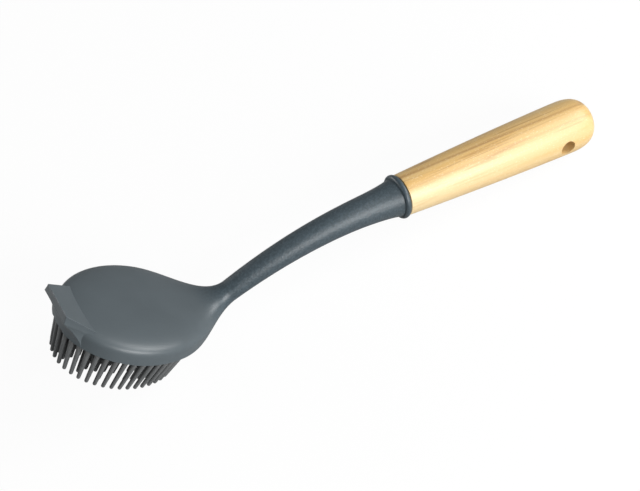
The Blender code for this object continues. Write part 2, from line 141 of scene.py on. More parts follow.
class ScraperSizes(bpy.types.PropertyGroup):
    """The scraper wedge on the front of the head."""

    edge_reach: length("Edge reach", 0.0405, "From the oval's centre forward to the edge")
    edge_height: length("Edge height", 0.0144, "Height of the edge over the rim")
    edge_half: length("Edge half width", 0.0099, "Half width of the edge")
    lip: length("Lip height", 0.0040, "Height of the upright lip under the edge")
    slope: FloatProperty(name="Slope", default=radians(24.0), subtype="ANGLE",
                         description="Slope of the facet behind the edge")
    root_reach: length("Root reach", 0.0173, "How near to the oval's centre the wedge starts")
    root_half: length("Root half width", 0.0170, "Half width of the wedge at its root")
    foot_height: length("Foot height", 0.0006, "Height of the wedge's foot over the rim")
    foot_angle: FloatProperty(name="Foot angle", default=radians(30.5), subtype="ANGLE",
                              description="Angle round the oval that the foot covers")
    hollow: share("Hollow", 1.35, "How hollow the wall under the lip is")
    flank: share("Flank", 1.5, "How the flanks spread towards the foot")
    easing: length("Easing", 0.0009, "Rounding of the wedge's edges")


class PadSizes(bpy.types.PropertyGroup):
    """The soft pad: a backing in the head's pocket, with a ring and columns of fingers."""

    recess: length("Recess", 0.0010, "How far the pad's edge sits inside the rim")
    dish: length("Dish", 0.0036, "Depth of the pad's dished underside")
    finger_length: length("Finger length", 0.0219, "Length of a finger")
    root_radius: length("Root radius", 0.00132, "Radius of a finger at its root")
    tip_radius: length("Tip radius", 0.00090, "Radius of a finger at its tip")
    edge_inset: length("Edge inset", 0.0027, "From the rim's oval in to the outer ring")
    edge_count: count("Outer fingers", 44, "Fingers in the outer ring")
    column_pitch: length("Column pitch", 0.0043, "Distance between columns along the head")
    row_pitch: length("Row pitch", 0.0047, "Distance between the fingers of a column")
    clearance: length("Finger clearance", 0.0034, "Least distance from the ring to an inner finger")
    fan_radius: length("Fan radius", 0.1785, "Distance at which the fingers' lines would meet")
    fan_ahead: length("Fan ahead", 0.0059, "How far ahead of the oval's centre the fan points")
    sides: count("Sides", 12, "Sides of a finger")


class BrushColours(bpy.types.PropertyGroup):
    """Colours of the wood, the plastic and the soft fingers."""

    beech: colour("Beech", (0.68, 0.425, 0.145), "Main colour of the wood")
    beech_pale: colour("Pale beech", (0.70, 0.49, 0.215), "Pale streaks of the wood")
    beech_dark: colour("Dark beech", (0.45, 0.25, 0.085), "Thin dark lines of the wood")
    # The fleck colour also gives the painted highlight mixed onto the handle's lower, lit side
    fleck_and_highlight: colour("Fleck", (0.88, 0.76, 0.50), "Pale flecks of the wood")
    slate: colour("Slate", (0.080, 0.098, 0.108), "Plastic of the head")
    # The neck's slate is darker than the head's as painted shade
    neck_slate_and_shade: colour("Neck slate", (0.050, 0.070, 0.083), "Grained plastic of the neck")
    rubber: colour("Rubber", (0.128, 0.133, 0.135), "Soft fingers")
    floor: colour("Floor", (0.92, 0.92, 0.92), "Floor as the camera sees it")
    floor_shade: colour("Floor shade", (0.40, 0.40, 0.40), "Floor as the brush sees it")


GROUPS = {
    "brush_handle": HandleSizes,
    "brush_head": HeadSizes,
    "brush_neck": NeckSizes,
    "brush_scraper": ScraperSizes,
    "brush_pad": PadSizes,
    "brush_colours": BrushColours,
}


# Shader maths

# How far a step along Y and along Z moves a point up the camera's picture of the handle
PICTURE_UP = (0.81, 0.59)


class Value:
    """A shader socket that takes part in Python sums, each of which adds a Math node."""

    def __init__(self, graph, socket):
        self.graph = graph
        self.socket = socket

    def sum(self, operation, *terms):
        return self.graph.node("ShaderNodeMath", {"operation": operation}, dict(enumerate(terms)))

    def __add__(self, other):
        return self.sum("ADD", self, other)

    def __radd__(self, other):
        return self.sum("ADD", other, self)

    def __sub__(self, other):
        return self.sum("SUBTRACT", self, other)

    def __rsub__(self, other):
        return self.sum("SUBTRACT", other, self)

    def __mul__(self, other):
        return self.sum("MULTIPLY", self, other)

    def __rmul__(self, other):
        return self.sum("MULTIPLY", other, self)


class Graph:
    """The node tree of a material or a world, with the shader that it feeds."""

    def __init__(self, owner, shader="Principled BSDF"):
        owner.use_nodes = True
        self.owner = owner
        self.tree = owner.node_tree
        self.shader = self.tree.nodes[shader]

    def feed(self, socket, value):
        """Link a Value to a socket, or set the socket to a number, a colour or a vector."""
        if isinstance(value, Value):
            self.tree.links.new(value.socket, socket)
        elif socket.type == "RGBA":
            socket.default_value = (*value, 1.0)
        else:
            socket.default_value = value

    def node(self, kind, settings=None, sockets=None, output=0):
        """Add a node: its settings first, then the values or links of its sockets."""
        made = self.tree.nodes.new(kind)
        for name, value in (settings or {}).items():
            if name == "stops":
                self.set_stops(made.color_ramp, value)
            else:
                setattr(made, name, value)
        for name, value in (sockets or {}).items():
            self.feed(made.inputs[name], value)
        return Value(self, made.outputs[output])

    def set_stops(self, ramp, stops):
        while len(ramp.elements) < len(stops):
            ramp.elements.new(0.5)
        for element, (place, shade) in zip(ramp.elements, stops):
            element.position = place
            element.color = (shade, shade, shade, 1.0)

    def place(self):
        """Where a point of a piece lies in the frame that the brush is built in."""
        lifted = rest_pose().inverted()
        return self.node("ShaderNodeMapping", {"vector_type": "POINT"}, {
            "Vector": self.node("ShaderNodeTexCoord", output="Object"),
            "Location": lifted.to_translation(), "Rotation": lifted.to_euler()})

    def coordinate(self, place, axis):
        return self.node("ShaderNodeSeparateXYZ", {}, {"Vector": place}, axis)

    def across(self, place):
        """How far up the camera's picture of the handle a point lies, from the handle's axis."""
        y_up, z_up = PICTURE_UP
        return self.coordinate(place, "Y") * y_up + self.coordinate(place, "Z") * z_up

    def noise(self, place, scale, detail=2.0, roughness=0.5, distortion=0.0):
        return self.node("ShaderNodeTexNoise", {}, {
            "Vector": place, "Scale": scale, "Detail": detail, "Roughness": roughness,
            "Distortion": distortion})

    def grain(self, place, repeats, **settings):
        """Noise that is drawn out, with its own number of repeats in a metre on each axis."""
        drawn_out = self.node("ShaderNodeVectorMath", {"operation": "MULTIPLY"},
                              {0: place, 1: repeats})
        return self.noise(drawn_out, scale=1.0, **settings)

    def ramp(self, value, stops):
        """A value turned to shades of grey, by stops of a place and a shade."""
        return self.node("ShaderNodeValToRGB", {"stops": stops}, {"Fac": value})

    def mix(self, factor, first, second):
        return self.node("ShaderNodeMix", {"data_type": "RGBA"},
                         {"Factor": factor, 6: first, 7: second}, output=2)

    def bump(self, height, distance, strength):
        return self.node("ShaderNodeBump", {}, {
            "Height": height, "Distance": distance, "Strength": strength})

    def finished(self, sockets):
        """Feed the shader's sockets, and give back the material or the world."""
        for name, value in sockets.items():
            self.feed(self.shader.inputs[name], value)
        return self.owner


def shaded(tone, part):
    """A colour made lighter or darker."""
    return [value * part for value in tone]


# Meshes

CREASE_ANGLE = radians(30.0)


def rest_pose():
    """The handle's frame in the world, from the mount on the handle's butt."""
    axis = Vector(butt_mount["axis"])
    pitch = atan2(-axis.z, axis.x)
    turn = Matrix.Rotation(pitch, 4, "Y")
    butt = Vector((bpy.context.scene.brush_handle.length, 0.0, 0.0))
    origin = Vector(butt_mount["pos_m"]) - turn @ butt
    return Matrix.Translation(origin) @ turn


def mesh_from(bm, name):
    """A mesh of a bmesh, with its faces turned outwards. The bmesh is used up."""
    bmesh.ops.recalc_face_normals(bm, faces=bm.faces)
    mesh = bpy.data.meshes.new(name)
    bm.to_mesh(mesh)
    bm.free()
    return mesh


def new_object(name, data):
    item = bpy.data.objects.new(name, data)
    bpy.context.scene.collection.objects.link(item)
    return item


def skin(rings):
    """A closed body skinned over a list of closed rings with equal counts."""
    bm = bmesh.new()
    rows = [[bm.verts.new(point) for point in ring] for ring in rings]
    total = len(rows[0])
    for near, far in zip(rows, rows[1:]):
        for k in range(total):
            bm.faces.new((near[k], near[(k + 1) % total], far[(k + 1) % total], far[k]))
    bm.faces.new(rows[0])
    bm.faces.new(reversed(rows[-1]))
    return bm


def turned(profile, sides):
    """A body turned about X from points of a radius and an x. A radius of zero closes an end."""
    bm = bmesh.new()
    angles = [2.0 * pi * k / sides for k in range(sides)]
    rows = []
    for radius, x in profile:
        if radius == 0.0:
            rows.append([bm.verts.new((x, 0.0, 0.0))])
        else:
            rows.append([bm.verts.new((x, radius * cos(a), radius * sin(a))) for a in angles])
    for near, far in zip(rows, rows[1:]):
        for k in range(sides):
            after = (k + 1) % sides
            corners = [near[k % len(near)], near[after % len(near)],
                       far[after % len(far)], far[k % len(far)]]
            bm.faces.new(list(dict.fromkeys(corners)))
    return bm


def combined(item, others):
    """Apply Boolean modifiers to an object, and take the other objects away."""
    for other, operation in others:
        boolean = item.modifiers.new(operation.title(), "BOOLEAN")
        boolean.operation = operation
        boolean.solver = "EXACT"
        boolean.object = other
    scene_now = bpy.context.evaluated_depsgraph_get()
    mesh = bpy.data.meshes.new_from_object(item.evaluated_get(scene_now))
    for other, _ in others:
        bpy.data.objects.remove(other, do_unlink=True)
    item.modifiers.clear()
    item.data = mesh


def check_closed(item):
    """Raise an error for a piece that came out empty or with an open edge."""
    bm = bmesh.new()
    bm.from_mesh(item.data)
    open_edges = sum(1 for edge in bm.edges if not edge.is_manifold)
    faces = len(bm.faces)
    bm.free()
    if not faces or open_edges:
        raise RuntimeError(f"{item.name}: {faces} faces, {open_edges} open edges")


def finish_piece(item, material, node):
    """Shade a piece, lay it down, and seat it on the frame in place of its CAD node."""
    check_closed(item)
    item.data.shade_smooth()
    item.data.set_sharp_from_angle(angle=CREASE_ANGLE)
    item.data.materials.clear()
    item.data.materials.append(material)
    item.data.transform(rest_pose())
    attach(item, "root")
    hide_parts(node)


def bezier(points, t):
    """A point on a Bezier curve through the first and last points, for numbers or vectors."""
    while len(points) > 1:
        points = [a + (b - a) * t for a, b in zip(points, points[1:])]
    return points[0]


# The turned handle

DRILL_SIDES = 64

# The wood's figure: how often it repeats in a metre along, across and up the handle
BROAD_REPEATS = (5.0, 120.0, 120.0)
STREAK_REPEATS = (8.0, 320.0, 320.0)
LINE_REPEATS = (13.0, 620.0, 620.0)
FLECK_REPEATS = (800.0, 3200.0, 3200.0)

# Turns metres across the camera's picture of the handle into about -0.7 to 0.7
PER_HANDLE_WIDTH = 60.0

# Stops of the ramps: the handle's upper side as the camera sees it, with more figure and a
# little painted shade, the pale tone, the two brown lines that the photograph shows, the thin
# lines between them and the flecks
FIGURED_SHADED_SIDE = ((0.30, 0.25), (0.65, 1.0))
PALE_TONE = ((0.34, 0.0), (0.54, 1.0))
HEART_LINE = ((0.54, 0.0), (0.60, 1.0), (0.66, 0.0))
EDGE_LINE = ((0.15, 0.0), (0.20, 0.6), (0.25, 0.0))
THIN_LINES = ((0.56, 0.0), (0.70, 1.0))
FLECKS = ((0.62, 0.0), (0.72, 1.0))

# How far the brown lines wander, how strong each mark is, and how strong the painted highlight
# on the lower, lit side is at the collar, with what it loses in a metre towards the butt
WANDER = 0.30
BROWN_STRENGTH = 1.7
THIN_STRENGTH = 0.75
FLECK_STRENGTH = 0.5
HIGHLIGHT_AT_COLLAR = 0.55
HIGHLIGHT_LOSS = 4.5
PORE_DEPTH = 0.00008


def handle_radius(sizes, x):
    t = x / sizes.length
    grown = 1.0 - (1.0 - t) ** sizes.swell
    radius = sizes.collar_radius + (sizes.butt_radius - sizes.collar_radius) * grown
    round_start = sizes.length - sizes.round_length
    if x > round_start:
        depth = min((x - round_start) / sizes.round_length, 1.0)
        radius *= (1.0 - depth ** sizes.round_power) ** (1.0 / sizes.round_power)
    return max(radius, sizes.flat_radius)


def handle_profile(sizes, neck):
    socket_radius = neck.tang_radius + neck.seat_gap
    round_start = sizes.length - sizes.round_length
    points = [(0.0, sizes.length), (sizes.flat_radius, sizes.length)]
    round_steps = 40
    for k in range(1, round_steps):
        x = round_start + sizes.round_length * cos(k / round_steps * pi / 2.0)
        if handle_radius(sizes, x) > sizes.flat_radius:
            points.append((handle_radius(sizes, x), x))
    straight_steps = 40
    for k in range(straight_steps):
        x = round_start * (1.0 - k / straight_steps)
        if x > 2.0 * sizes.chamfer:
            points.append((handle_radius(sizes, x), x))
    edge_steps = 4
    edge_radius = handle_radius(sizes, sizes.chamfer)
    for k in range(edge_steps + 1):
        angle = k / edge_steps * pi / 2.0
        points.append((edge_radius - sizes.chamfer * (1.0 - cos(angle)),
                       sizes.chamfer * (1.0 - sin(angle))))
    points.append((socket_radius, 0.0))
    points.append((socket_radius, sizes.socket_depth))
    points.append((0.0, sizes.socket_depth + socket_radius / 2.0))
    return points


def wood_material(colours):
    """Oiled beech: honey with long pale and tan streaks, thin brown lines and pale flecks, a
    painted cream highlight along the lower side that faces the lamps, and a little painted shade on
    the upper side.
    """
    graph = Graph(bpy.data.materials.new("oiled_beech"))
    place = graph.place()
    broad = graph.grain(place, BROAD_REPEATS, detail=2.0, distortion=0.4)
    streaks = graph.grain(place, STREAK_REPEATS, detail=3.0, roughness=0.6, distortion=0.8)
    lines = graph.grain(place, LINE_REPEATS, detail=1.0, distortion=0.6)
    flecks = graph.grain(place, FLECK_REPEATS, detail=1.0)
    along = graph.coordinate(place, "X")
    across = graph.across(place) * PER_HANDLE_WIDTH
    wandering = across + broad * WANDER

    # The upper side gets more figure, and its tone is nudged towards the darker beech as painted
    # shade
    figured_shaded_side = graph.ramp(across + 0.5, FIGURED_SHADED_SIDE)
    tone = graph.ramp(broad * 0.5 + streaks * 0.5 - figured_shaded_side * 0.05, PALE_TONE)
    base = graph.mix(tone, colours.beech, colours.beech_pale)
    # Painted highlight: the lower side, which faces the lamps, is mixed towards the fleck colour,
    # less so towards the butt
    pale = (1.0 - figured_shaded_side) * (HIGHLIGHT_AT_COLLAR - along * HIGHLIGHT_LOSS)
    base = graph.mix(pale, base, colours.fleck_and_highlight)
    thin = graph.ramp(lines, THIN_LINES) * THIN_STRENGTH * figured_shaded_side
    base = graph.mix(thin, base, colours.beech_dark)
    brown = graph.ramp(wandering, HEART_LINE) + graph.ramp(wandering, EDGE_LINE)
    base = graph.mix(brown * streaks * BROWN_STRENGTH, base, colours.beech_dark)
    base = graph.mix(graph.ramp(flecks, FLECKS) * FLECK_STRENGTH, base, colours.fleck_and_highlight)

    relief = graph.bump(streaks * 0.6 + flecks * 0.4, PORE_DEPTH, strength=0.5)
    return graph.finished({
        "Base Color": base, "Roughness": 0.38 + streaks * 0.14, "Normal": relief,
        "Coat Weight": 0.4, "Coat Roughness": 0.38})


class BRUSH_OT_turn_handle(bpy.types.Operator):
    """Turn the wooden handle, drill its hanging hole and give it its grain"""

    bl_idname = "brush.turn_handle"
    bl_label = "Turn the handle"

    def execute(self, context):
        scene = context.scene
        sizes = scene.brush_handle
        body = turned(handle_profile(sizes, scene.brush_neck), sizes.sides)
        handle = new_object("turned_handle", mesh_from(body, "turned_handle"))
        bm = bmesh.new()
        bmesh.ops.create_cone(bm, cap_ends=True, segments=DRILL_SIDES, radius1=sizes.hole_radius,
                              radius2=sizes.hole_radius, depth=4.0 * sizes.butt_radius)
        hole = Matrix.Translation((sizes.length - sizes.hole_to_butt, 0.0, 0.0))
        upright_to_across = Matrix.Rotation(pi / 2.0, 4, "X")
        bmesh.ops.transform(bm, matrix=hole @ upright_to_across, verts=bm.verts)
        combined(handle, [(new_object("drill", mesh_from(bm, "drill")), "DIFFERENCE")])
        finish_piece(handle, wood_material(scene.brush_colours), "wooden_handle")
        return {"FINISHED"}


# The moulded head and neck

# Turns metres along the neck into a share that grows from 0 on the head to 1 at the collar
PER_NECK_LENGTH = 8.4

# Stops of the ramps: where along the neck the grain lies, where the darker tone of painted shade
# starts, the grain's pale specks and the soft clouds that the silicone has as well
GRAINED_NECK = ((0.19, 0.0), (0.24, 1.0), (0.96, 1.0), (0.975, 0.0))
SHADED_NECK_TONE = ((0.07, 0.0), (0.18, 1.0))
SPECKLE = ((0.44, 0.0), (0.62, 1.0))
SOFT_CLOUD = ((0.3, 0.0), (0.7, 1.0))

GRAIN_DEPTH = 0.00030


class HeadForm:
    """Points of the head and neck, from their sizes."""

    # Rings along the dome, the blend and the neck, and points in half a ring
    dome_rings = 56
    shoulder_rings = 40
    shaft_rings = 48
    floor_points = 10
    wall_points = 44

    # Under one crowds the wall's points near the crown, and over one the neck's rings near the
    # collar
    wall_spread = 0.45
    shaft_spread = 1.35

    # The first ring's place round the rim's oval, and how far the floor's points reach round a
    # section of the neck
    tip_angle = radians(12.0)
    floor_angle = pi / 3.0

    halvings = 40
    turned_sides = 128
    bead_steps = 24
    wedge_steps = 24
    hollow_rows = 24
    lip_rows = 8
    easing_steps = 3

    # How far the collar's core runs into the neck, and the pocket's cutter out under the rim
    core_length = 0.008
    overrun = 0.002

    def __init__(self, head, neck, scraper):
        self.head = head
        self.neck = neck
        self.scraper = scraper

    def flat(self, u, w):
        """A point of the head's own frame, as x and z."""
        head = self.head
        x = -head.centre_back + u * cos(head.tilt) + w * sin(head.tilt)
        z = -head.centre_drop - u * sin(head.tilt) + w * cos(head.tilt)
        return Vector((x, z))

    def point(self, u, y, w):
        """A point of the head's own frame, in the handle's."""
        spot = self.flat(u, w)
        return Vector((spot.x, y, spot.y))

    def matrix(self):
        """The head's own frame in the handle's."""
        tilt = Matrix.Rotation(self.head.tilt, 4, "Y")
        return Matrix.Translation((-self.head.centre_back, 0.0, -self.head.centre_drop)) @ tilt

    def rim_share_at(self, height_share):
        """How much of the rim's oval the dome's skin still spans at a share of its height."""
        cap = max(1.0 - height_share ** self.head.squareness, 0.0)
        return cap ** (1.0 / self.head.roundness) * (1.0 - self.head.draft * height_share)

    def skin_height_at(self, rim_share):
        """Height of the dome's skin over a share of the rim's oval, by halving."""
        low, high = 0.0, 1.0
        for _ in range(self.halvings):
            middle = (low + high) / 2.0
            if self.rim_share_at(middle) > rim_share:
                low = middle
            else:
                high = middle
        return self.head.height * low

    def neck_run(self, x):
        """How far along its bend the neck is at x: 0 where it starts, 1 at its root."""
        neck = self.neck
        return max(-x - neck.straight, 0.0) / (neck.root_back - neck.straight)

    def neck_centre(self, x):
        return Vector((x, -self.neck.root_drop * self.neck_run(x) ** 2))

    def neck_direction(self, x):
        reach = self.neck.root_back - self.neck.straight
        return Vector((1.0, 2.0 * self.neck.root_drop * self.neck_run(x) / reach)).normalized()

    def neck_radius(self, x):
        neck = self.neck
        t = 1.0 + x / neck.root_back
        straight = neck.waist_radius + (neck.collar_radius - neck.waist_radius) * t
        return straight + neck.flare_rise * exp(x / neck.flare_length)

    def half_shares(self, station):
        """Half a section of the head, as shares of its half width and of its height."""
        shares = [(k / self.floor_points, 0.0) for k in range(self.floor_points)]
        top_share = self.skin_height_at(station) / self.head.height
        edge = (1.0 - station ** 2) ** 0.5
        for k in range(self.wall_points + 1):
            rise = sin(k / self.wall_points * pi / 2.0) ** self.wall_spread
            out = max(self.rim_share_at(rise * top_share) ** 2 - station ** 2, 0.0) ** 0.5
            shares.append((out / edge, rise))
        shares[-1] = (0.0, 1.0)
        return shares

    def round_shares(self):
        """Half a section of the neck, with as many points."""
        angles = [self.floor_angle * k / self.floor_points for k in range(self.floor_points)]
        for k in range(self.wall_points + 1):
            angles.append(self.floor_angle + (pi - self.floor_angle) * k / self.wall_points)
        return [(sin(angle), (1.0 - cos(angle)) / 2.0) for angle in angles]

    def ring(self, bottom, top, half_width, shares):
        """A whole section between a bottom and a top point, from the shares of one half."""
        half = []
        for out, rise in shares:
            spot = bottom + (top - bottom) * rise
            half.append((spot.x, out * half_width, spot.y))
        mirrored = [(x, -y, z) for x, y, z in half[-2:0:-1]]
        return [Vector(spot) for spot in half + mirrored]

    def head_rings(self):
        head = self.head
        station = head.blend_start / head.half_length
        last_angle = pi - atan2((1.0 - station ** 2) ** 0.5, station)
        rings = []
        for k in range(self.dome_rings + 1):
            angle = self.tip_angle + (last_angle - self.tip_angle) * k / self.dome_rings
            u = -head.half_length * cos(angle)
            out = abs(cos(angle))
            rings.append(self.ring(self.flat(u, 0.0), self.flat(u, self.skin_height_at(out)),
                                   head.half_width * sin(angle), self.half_shares(out)))
        return rings

    def blend_rings(self):
        """Sections from the dome to the neck, on a curve each for heel, saddle and flanks."""
        head, neck = self.head, self.neck
        station = head.blend_start / head.half_length
        start_half = head.half_width * (1.0 - station ** 2) ** 0.5
        root_x = -neck.root_back
        centre = self.neck_centre(root_x)
        along = self.neck_direction(root_x)
        up = Vector((-along.y, along.x))
        radius = self.neck_radius(root_x)
        head_along = Vector((cos(head.tilt), -sin(head.tilt)))
        low_start = self.flat(head.blend_start, 0.0)
        low_end = centre - up * radius
        low = (low_start, low_start + head_along * head.heel,
               low_end - along * head.heel_end, low_end)
        high_start = self.flat(head.blend_start, self.skin_height_at(station))
        high_end = centre + up * radius
        high = (high_start, high_start + head_along * head.saddle,
                high_end - along * head.saddle_end, high_end)
        oval_slope = head.half_width ** 2 * station / (head.half_length * start_half)
        cubic_to_quartic = 3.0 / 4.0
        flank = start_half - oval_slope * cubic_to_quartic * (head.heel + head.saddle) / 2.0
        widths = (start_half, flank, head.shoulder, head.flank_end, radius)
        rings = []
        for k in range(1, self.shoulder_rings + 1):
            t = k / self.shoulder_rings
            turn = t * t * (3.0 - 2.0 * t)
            shares = [(a[0] + (b[0] - a[0]) * turn, a[1] + (b[1] - a[1]) * turn)
                      for a, b in zip(self.half_shares(station), self.round_shares())]
            rings.append(self.ring(bezier(low, t), bezier(high, t), bezier(widths, t), shares))
        return rings

    def neck_rings(self):
        """Round sections of the bent neck, which ends inside the collar's bead."""
        neck = self.neck
        end_x = -(neck.seat_gap + neck.bead_width / 2.0)
        rings = []
        for k in range(1, self.shaft_rings + 1):
            run = 1.0 - (1.0 - k / self.shaft_rings) ** self.shaft_spread
            x = -neck.root_back + (neck.root_back + end_x) * run
            along = self.neck_direction(x)
            radius = self.neck_radius(x)
            up = Vector((-along.y, along.x)) * radius
            centre = self.neck_centre(x)
            rings.append(self.ring(centre - up, centre + up, radius, self.round_shares()))
        return rings

    def collar_profile(self):
        """The tang, the bead and a core in the neck, as points of a radius and an x."""
        neck = self.neck
        face = -neck.seat_gap
        half_bead = neck.bead_width / 2.0
        foot = neck.bead_radius - neck.bead_foot
        root = face - self.core_length
        tip = neck.tang_length - neck.seat_gap
        points = [(0.0, tip), (neck.tang_radius, tip), (neck.tang_radius, face), (foot, face)]
        for k in range(1, self.bead_steps):
            angle = pi * k / self.bead_steps
            points.append((foot + neck.bead_foot * sin(angle),
                           face - half_bead + half_bead * cos(angle)))
        points.append((foot, face - neck.bead_width))
        points.append((neck.tang_radius, face - neck.bead_width))
        points.append((neck.tang_radius, root))
        points.append((0.0, root))
        return points

    def scraper_climbs(self):
        """Steps up the scraper's front: shares of its height, and how far each leans forward."""
        scraper = self.scraper
        height = scraper.edge_height - scraper.foot_height
        lip_start = (height - scraper.lip) / height
        hollow = [lip_start * row / self.hollow_rows for row in range(self.hollow_rows)]
        lip = [lip_start + (1.0 - lip_start) * row / self.lip_rows
               for row in range(self.lip_rows + 1)]
        leans = [(climb / lip_start) ** scraper.hollow for climb in hollow] + [1.0] * len(lip)
        return list(zip(hollow + lip, leans))

    def scraper_slice(self, bm, across):
        """Corners of the wedge's front and rear in one slice, from the foot up."""
        scraper = self.scraper
        height = scraper.edge_height - scraper.foot_height
        root_height = height - (scraper.edge_reach - scraper.root_reach) * tan(scraper.slope)
        angle = across * scraper.foot_angle
        foot_u = -self.head.half_length * cos(angle)
        foot_y = self.head.half_width * sin(angle)
        root_y = across * scraper.root_half
        edge_y = across * scraper.edge_half
        front = []
        rear = []
        for climb, lean in self.scraper_climbs():
            u = foot_u + (-scraper.edge_reach - foot_u) * lean
            y = edge_y + (foot_y - edge_y) * (1.0 - climb) ** scraper.flank
            front.append(bm.verts.new(self.point(u, y, scraper.foot_height + height * climb)))
            rise = scraper.foot_height + root_height * climb
            rear.append(bm.verts.new(self.point(-scraper.root_reach, root_y, rise)))
        return front, rear

    def scraper_wedge(self):
        """The wedge: a hollow front, a flat facet on top and ruled flanks, with eased edges."""
        bm = bmesh.new()
        slices = [self.scraper_slice(bm, 2.0 * k / self.wedge_steps - 1.0)
                  for k in range(self.wedge_steps + 1)]
        sides = (slices[0], slices[-1])
        loops = [front + rear[::-1] for front, rear in slices]
        for near, far in zip(loops, loops[1:]):
            for k in range(len(near)):
                after = (k + 1) % len(near)
                bm.faces.new((near[k], near[after], far[after], far[k]))
        for front, rear in sides:
            for k in range(len(front) - 1):
                bm.faces.new((front[k], front[k + 1], rear[k + 1], rear[k]))
        bmesh.ops.recalc_face_normals(bm, faces=bm.faces)
        top = [front[-1] for front, rear in slices]
        chains = [top] + [front + [rear[-1]] for front, rear in sides]
        edges = [bm.edges.get(pair) for chain in chains for pair in zip(chain, chain[1:])]
        bmesh.ops.bevel(bm, geom=edges, offset=self.scraper.easing, segments=self.easing_steps,
                        affect="EDGES", profile=0.5, clamp_overlap=True)
        bmesh.ops.triangulate(bm, faces=bm.faces)
        return mesh_from(bm, "scraper")

    def pocket_share_at(self, height):
        """The pocket's section at a height over the rim, as a share of its mouth."""
        return 1.0 - (1.0 - self.head.pocket_share) * height / self.head.pocket_depth

    def pocket(self):
        """The cutter for the pocket that holds the pad, which starts under the rim."""
        head = self.head
        bm = bmesh.new()
        bmesh.ops.create_cone(bm, cap_ends=True, segments=self.turned_sides, depth=1.0,
                              radius1=self.pocket_share_at(-self.overrun),
                              radius2=head.pocket_share)
        size = Matrix.Diagonal((head.half_length - head.rim_wall, head.half_width - head.rim_wall,
                                head.pocket_depth + self.overrun, 1.0))
        middle = Matrix.Translation((0.0, 0.0, (head.pocket_depth - self.overrun) / 2.0))
        bmesh.ops.transform(bm, matrix=self.matrix() @ middle @ size, verts=bm.verts)
        return mesh_from(bm, "pocket")


def head_form(scene):
    return HeadForm(scene.brush_head, scene.brush_neck, scene.brush_scraper)


def plastic_material(colours):
    """Moulded slate plastic: satin on the head, with a spark-eroded grain along the neck, where the
    darker tone is painted shade.
    """
    graph = Graph(bpy.data.materials.new("slate_plastic"))
    place = graph.place()
    up_the_neck = graph.coordinate(place, "X") * PER_NECK_LENGTH + 1.0
    on_neck = graph.ramp(up_the_neck, GRAINED_NECK)
    grain = graph.noise(place, scale=900.0, detail=3.0, roughness=0.7)
    cloud = graph.noise(place, scale=60.0, detail=3.0)

    satin = graph.mix(graph.ramp(cloud, SOFT_CLOUD), colours.slate, shaded(colours.slate, 1.08))
    grained_and_shaded = graph.mix(graph.ramp(grain, SPECKLE), shaded(colours.neck_slate_and_shade, 0.88),
                        shaded(colours.neck_slate_and_shade, 1.25))
    # The neck's darker tone, mixed in from the head, is painted shade
    base = graph.mix(graph.ramp(up_the_neck, SHADED_NECK_TONE), satin, grained_and_shaded)

    rough = 0.31 + cloud * 0.06 + grain * 0.06 + on_neck * 0.02
    relief = graph.bump(grain * on_neck, GRAIN_DEPTH, strength=0.7)
    return graph.finished({"Base Color": base, "Roughness": rough, "Normal": relief, "IOR": 1.5})


class BRUSH_OT_mould_head(bpy.types.Operator):
    """Mould the domed head, its scraper, the neck and the collar as one piece"""

    bl_idname = "brush.mould_head"
    bl_label = "Mould the head and neck"

    def execute(self, context):
        form = head_form(context.scene)
        rings = form.head_rings() + form.blend_rings() + form.neck_rings()
        head = new_object("moulded_head", mesh_from(skin(rings), "moulded_head"))
        body = turned(form.collar_profile(), form.turned_sides)
        collar = new_object("collar", mesh_from(body, "collar"))
        wedge = new_object("scraper", form.scraper_wedge())
        pocket = new_object("pocket", form.pocket())
        combined(head, [(collar, "UNION"), (wedge, "UNION"), (pocket, "DIFFERENCE")])
        finish_piece(head, plastic_material(context.scene.brush_colours),
                     "head_and_neck")
        return {"FINISHED"}


# The soft pad

OVAL_STEPS = 720
SILICONE_GRAIN_DEPTH = 0.00004


def oval_spots(half_length, half_width, total):
    """Points spread evenly along an oval, as u and y."""
    turns = [2.0 * pi * k / OVAL_STEPS for k in range(OVAL_STEPS + 1)]
    walk = [(half_length * cos(turn), half_width * sin(turn)) for turn in turns]
    distances = [0.0]
    for near, far in zip(walk, walk[1:]):
        distances.append(distances[-1] + hypot(far[0] - near[0], far[1] - near[1]))
    spots = []
    index = 0
    for k in range(total):
        target = distances[-1] * k / total
        while distances[index + 1] < target:
            index += 1
        part = (target - distances[index]) / (distances[index + 1] - distances[index])
        near, far = walk[index], walk[index + 1]
        spots.append((near[0] + (far[0] - near[0]) * part, near[1] + (far[1] - near[1]) * part))
    return spots


def finger_spots(head, pad):
    """The fingers' roots: an even ring inside the rim, and columns across the pad inside it."""
    half_length = head.half_length - pad.edge_inset
    half_width = head.half_width - pad.edge_inset
    ring = oval_spots(half_length, half_width, pad.edge_count)
    inner = []
    last_column = int(half_length / pad.column_pitch)
    for column in range(-last_column, last_column + 1):
        u = column * pad.column_pitch
        reach = half_width * (1.0 - (u / half_length) ** 2) ** 0.5
        rows = round(2.0 * reach / pad.row_pitch)
        for row in range(1, rows):
            y = reach * (2.0 * row / rows - 1.0)
            if min(hypot(u - ring_u, y - ring_y) for ring_u, ring_y in ring) > pad.clearance:
                inner.append((u, y))
    return ring + inner


